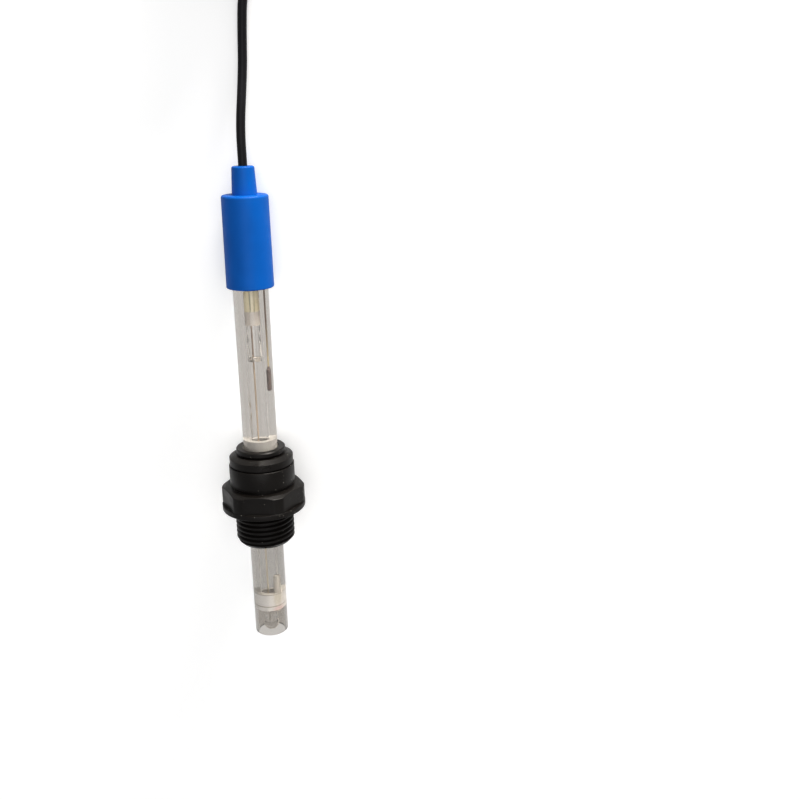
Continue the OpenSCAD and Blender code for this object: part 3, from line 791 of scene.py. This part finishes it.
def hexagon_radius(turn, z):
    """The hexagon, with turned corners and a chamfer above its shoulder."""
    off = math.radians(math.degrees(turn) % 60 - 30)
    slope = (CORNER_R - HEX_TOP_R) / (HEX_L - HEX_SHOULDER)
    turned = smooth_min(CORNER_R, CORNER_R - (z - HEX_SHOULDER) * slope)
    return smooth_min(FACE_R / math.cos(off), turned)


def low_edge(radius, z):
    return arc((radius - EDGE, z + EDGE), EDGE, -90, 0, EDGE_STEPS)


def high_edge(radius, z, edge=EDGE):
    return arc((radius - edge, z - edge), edge, 0, 90, EDGE_STEPS)


def plain_rings(places):
    """Round rings at places along an outline."""
    return [(circle(place[0], place[1], BODY_SIDES), 0) for place in places]


def shaped_rings(heights, radius_at):
    """Rings whose radius depends on the turn and the height."""
    turns = [2 * math.pi * k / BODY_SIDES for k in range(BODY_SIDES)]
    rings = []
    for z in heights:
        radii = [radius_at(t, z) for t in turns]
        ring = [Vector((r * math.cos(t), r * math.sin(t), z)) for r, t in zip(radii, turns)]
        rings.append((ring, 0))
    return rings


def adaptor_body(material):
    """The body in one mesh: bore, helical thread, flange, hexagon, groove and shell."""
    steps = round(THREAD_L / PITCH * STEPS_A_PITCH)
    thread = [-THREAD_L * (1 - i / steps) for i in range(steps + 1)]
    bend = HEX_SHOULDER - EDGE
    chamfer = [bend + (HEX_L - bend) * i / CHAMFER_STEPS for i in range(CHAMFER_STEPS + 1)]
    rings = plain_rings([(SPIGOT_R, SHELL_TOP), (SPIGOT_R, SPIGOT_Z), (POCKET_R, SPIGOT_Z)])
    rings += plain_rings([(POCKET_R, POCKET_Z), (BORE_R, POCKET_Z), (BORE_R, -THREAD_L)])
    rings += shaped_rings(thread, thread_radius)
    rings += plain_rings(low_edge(FLANGE_R, 0) + high_edge(FLANGE_R, FLANGE_T, LEDGE_EDGE))
    rings += shaped_rings([FLANGE_T, FLANGE_T + EDGE, HEX_SHOULDER / 2], hexagon_radius)
    rings += shaped_rings(chamfer, hexagon_radius)
    rings += plain_rings([(GROOVE_R, HEX_L), (GROOVE_R, SHELL_Z)])
    rings += plain_rings(low_edge(SHELL_R, SHELL_Z) + high_edge(SHELL_R, SHELL_TOP))
    piece = ring_mesh("adaptor_body", rings, [material], ADAPTOR, BODY_SHARP)
    fitted(piece, "fitting", "adaptor_black", "fitting_body")


# The cable

# The hank's outer and inner turns
OUTER_END_R = 11.95 * MM
OUTER_WAIST = 4.5 * MM
INNER_END_R = 8.98 * MM
INNER_WAIST = 1.5 * MM
WAIST_FILLET = 9 * MM

# Its layers, tied up to one distance from its middle and loose from another on
TIED_Y = 9 * MM
LOOSE_Y = 16 * MM
LOOSE_Z = 1.6 * MM
LOOSE_LAYER = 3.1 * MM
TIED_Z = 2.1 * MM
TIED_LAYER = 3.0 * MM

# Where the cable crosses from one turn to the next, counted in turns
CROSS_AT = 0.825
CROSS_EVERY = 0.95
CROSS_WIDE = 0.15

# Where a turn starts, in degrees, and how finely the turns and the cable are drawn
TURN_START = -35
TURN_SPANS = 200
STEPS_A_TURN = 40
CURVE_STEPS = 8
CABLE_STEP = 1.4 * MM


def evenly(points, count):
    """That many points at even distances along a line."""
    reach = [0.0]
    for a, b in zip(points, points[1:]):
        reach.append(reach[-1] + (b - a).length)
    found = []
    k = 0
    for i in range(count):
        goal = reach[-1] * i / (count - 1)
        while k < len(points) - 2 and reach[k + 1] < goal:
            k += 1
        span = max(reach[k + 1] - reach[k], TINY)
        found.append(points[k].lerp(points[k + 1], (goal - reach[k]) / span))
    return found


def hank_turn(end_r, waist):
    """One turn of the hank, flat about its middle: two round ends and a narrow waist."""
    side = waist + WAIST_FILLET
    lift = math.sqrt((end_r + WAIST_FILLET) ** 2 - side ** 2)
    bend_y = HANK_END_Y - lift
    meet = math.degrees(math.atan2(lift, side))
    bends = [
        ((0, -HANK_END_Y), end_r, TURN_START, meet),
        ((side, -bend_y), WAIST_FILLET, 180 + meet, 180),
        ((side, bend_y), WAIST_FILLET, 180, 180 - meet),
        ((0, HANK_END_Y), end_r, -meet, 180 + meet),
        ((-side, bend_y), WAIST_FILLET, meet, 0),
        ((-side, -bend_y), WAIST_FILLET, 0, -meet),
        ((0, -HANK_END_Y), end_r, 180 - meet, 360 + TURN_START),
    ]
    line = [
        Vector((x, y))
        for centre, radius, start, end in bends
        for x, y, _ in arc(centre, radius, start, end, max(2, round(abs(end - start))))
    ]
    return evenly(line, TURN_SPANS + 1)


def hank_points():
    """Turns that lie beside and on each other, and cross over near the hank's near end."""
    outer = hank_turn(OUTER_END_R, OUTER_WAIST)
    inner = hank_turn(INNER_END_R, INNER_WAIST)
    order = [(outer, 0), (inner, 0), (inner, 1), (outer, 1), (outer, 2), (inner, 2)]
    found = []
    for i in range(round(HANK_TURNS * STEPS_A_TURN) + 1):
        way = i / STEPS_A_TURN
        k = min(int(max(way - CROSS_AT, 0) / CROSS_EVERY), len(order) - 2)
        crossed = eased((way - CROSS_AT - k * CROSS_EVERY) / CROSS_WIDE)
        (here, low), (there, high) = order[k], order[k + 1]
        place = way % 1 * TURN_SPANS
        j = min(int(place), TURN_SPANS - 1)
        flat = here[j].lerp(here[j + 1], place - j)
        flat = flat.lerp(there[j].lerp(there[j + 1], place - j), crossed)
        layer = low + (high - low) * crossed
        tied = eased((LOOSE_Y - abs(flat.y)) / (LOOSE_Y - TIED_Y))
        loose_z = LOOSE_Z + LOOSE_LAYER * layer
        tied_z = TIED_Z + TIED_LAYER * layer
        z = loose_z * (1 - tied) + tied_z * tied
        found.append(Vector((flat.x, HANK_Y + flat.y, z)))
    return found


def smooth_line(points, step):
    """A smooth curve through all the points, in even steps."""
    dense = []
    last = len(points) - 1
    for i in range(last):
        before = points[max(i - 1, 0)]
        a, b = points[i], points[i + 1]
        after = points[min(i + 2, last)]
        for t in (k / CURVE_STEPS for k in range(CURVE_STEPS)):
            dense.append(0.5 * (
                2 * a + (b - before) * t + (2 * before - 5 * a + 4 * b - after) * t * t
                + (3 * a - before - 3 * b + after) * t * t * t
            ))
    dense.append(points[last])
    length = sum((b - a).length for a, b in zip(dense, dense[1:]))
    return evenly(dense, round(length / step) + 1)


def cable_curve(line):
    """The cable's jacket along a line of points."""
    data = bpy.data.curves.new("cable", "CURVE")
    data.dimensions = "3D"
    data.bevel_depth = CABLE_R
    data.bevel_resolution = 4
    data.use_fill_caps = True
    spline = data.splines.new("POLY")
    spline.points.add(len(line) - 1)
    for point, place in zip(spline.points, line):
        point.co = (*place, 1)
    spline.use_smooth = True
    return data


def cable(material):
    """One curve from the neck through the hank and the boot to the plug's body."""
    into_plug = [PLUG_TAIL + PLUG_AXIS * way for way in INTO_PLUG]
    route = [Vector(p) for p in CORD_ROUTE] + hank_points()
    route += [Vector(p) for p in TAIL_ROUTE] + into_plug
    data = cable_curve(smooth_line(route, CABLE_STEP))
    data.materials.append(material)
    piece = link(bpy.data.objects.new("cable", data))
    fitted(piece, "electrode", "cable_black", "cord_run", "cord_hank", "cord_tail")


# The object's parts

def glassware():
    """The tube, the stem with its bulb, and the cartridge in it."""
    tube(
        tube_glass(),
        clear("tube_inside", UNTINTED, TUBE_GEL_IOR),
        # The skirt's tint is painted shade on what is seen through the open end
        clear("tube_skirt", (0.84, 0.81, 0.77), GLASS_IOR),
    )
    stem(
        # The rims on the stem and the cartridge are painted highlights, the cartridge's with
        # dashes of painted shade
        clear("stem_bare", UNTINTED, GLASS_IOR, rim=(0.95, 0.5, 0.75)),
        clear("stem_in_gel", UNTINTED, STEM_GEL_IOR, rim=(0.4, 0.62, 0.95)),
        clear("stem_inside", UNTINTED, STEM_GEL_IOR),
        clear("stem_near_tip", UNTINTED, STEM_GEL_IOR, rim=(0.95, 0.42, 0.58)),
    )
    cartridge = clear(
        "cartridge_glass", UNTINTED, CARTRIDGE_IOR, rim=(0.9, 0.35, 0.95), dashes=True,
    )
    paint(cartridge, "cartridge_tube")


def plugs_and_rod():
    """What closes the stem and the tube, and the porous junction."""
    paint(yellow_resin(), "resin_plug")
    paint(plastic("cream_plug", (0.54, 0.49, 0.44), (0.59, 0.535, 0.48), 0.6), "stem_plug")
    paint(plastic("grey_plug", (0.32, 0.31, 0.29), (0.365, 0.35, 0.33), 0.6), "middle_plug")
    paint(stained_plug(), "lower_plug", "end_seal")
    paint(plastic("beige_rod", (0.61, 0.57, 0.52), (0.55, 0.51, 0.45), 0.8), "junction_rod")
    potting = plastic("sealing_resin", (0.66, 0.63, 0.60), (0.72, 0.69, 0.66), 0.35)
    paint(potting, "head_potting")


def half_cells():
    """The two silver wires, the cartridge's cotton and the coated element."""
    paint(plastic("cotton", (0.33, 0.30, 0.27), (0.40, 0.37, 0.33), 0.9), "cartridge_cotton")
    coat = plastic("element_coat", (0.05, 0.03, 0.027), (0.10, 0.07, 0.06), 0.5)
    paint(coat, "reference_element")
    inner = toned_wire(
        "stem_wire", ((0.70, 0.68, 0.65), 0, 1), ((0.95, 0.87, 0.72), 9, 13),
        ((0.60, 0.49, 0.38), 48, 66), ((0.28, 0.19, 0.12), 100, 108),
    )
    paint(inner, "inner_wire")
    outer = toned_wire(
        "chlorided_wire", ((0.85, 0.72, 0.45), 0, 1), ((0.22, 0.16, 0.12), 100, 118),
    )
    paint(outer, "reference_wire")


def adaptor():
    """The push-in adaptor's black, grey and steel pieces, and the shield inside the cap."""
    black = moulded_black()
    adaptor_body(black)
    paint(black, "retainer_ring", "collet")
    paint(plastic("grey_ring", (0.25, 0.25, 0.26), (0.3, 0.3, 0.31), 0.5), "support_ring")
    paint(metal("tinned_steel", (0.6, 0.6, 0.6), 0.3), "grip_teeth", "shield_lead")


def plug():
    """The bayonet plug's nickel, gold and white pieces, and the core inside the cap."""
    nickel = metal("nickel_plate", (0.72, 0.69, 0.64), 0.22, edge=0.15 * MM)
    paint(nickel, "bnc_body", "bnc_collar", "bnc_ferrule")
    paint(metal("gold_plate", (0.9, 0.65, 0.25), 0.2), "bnc_pin")
    white = plastic("white_plastic", (0.80, 0.77, 0.73), (0.86, 0.83, 0.79), 0.5)
    paint(white, "bnc_insulator", "core_lead")


camera()
rubber = cable_jacket()
cable(rubber)
paint(rubber, "cable_tail", "hank_tie", "bnc_boot", "o_ring")
floor()
studio()
glassware()
adaptor()
paint(moulded_blue(), "cap")
plugs_and_rod()
half_cells()
plug()
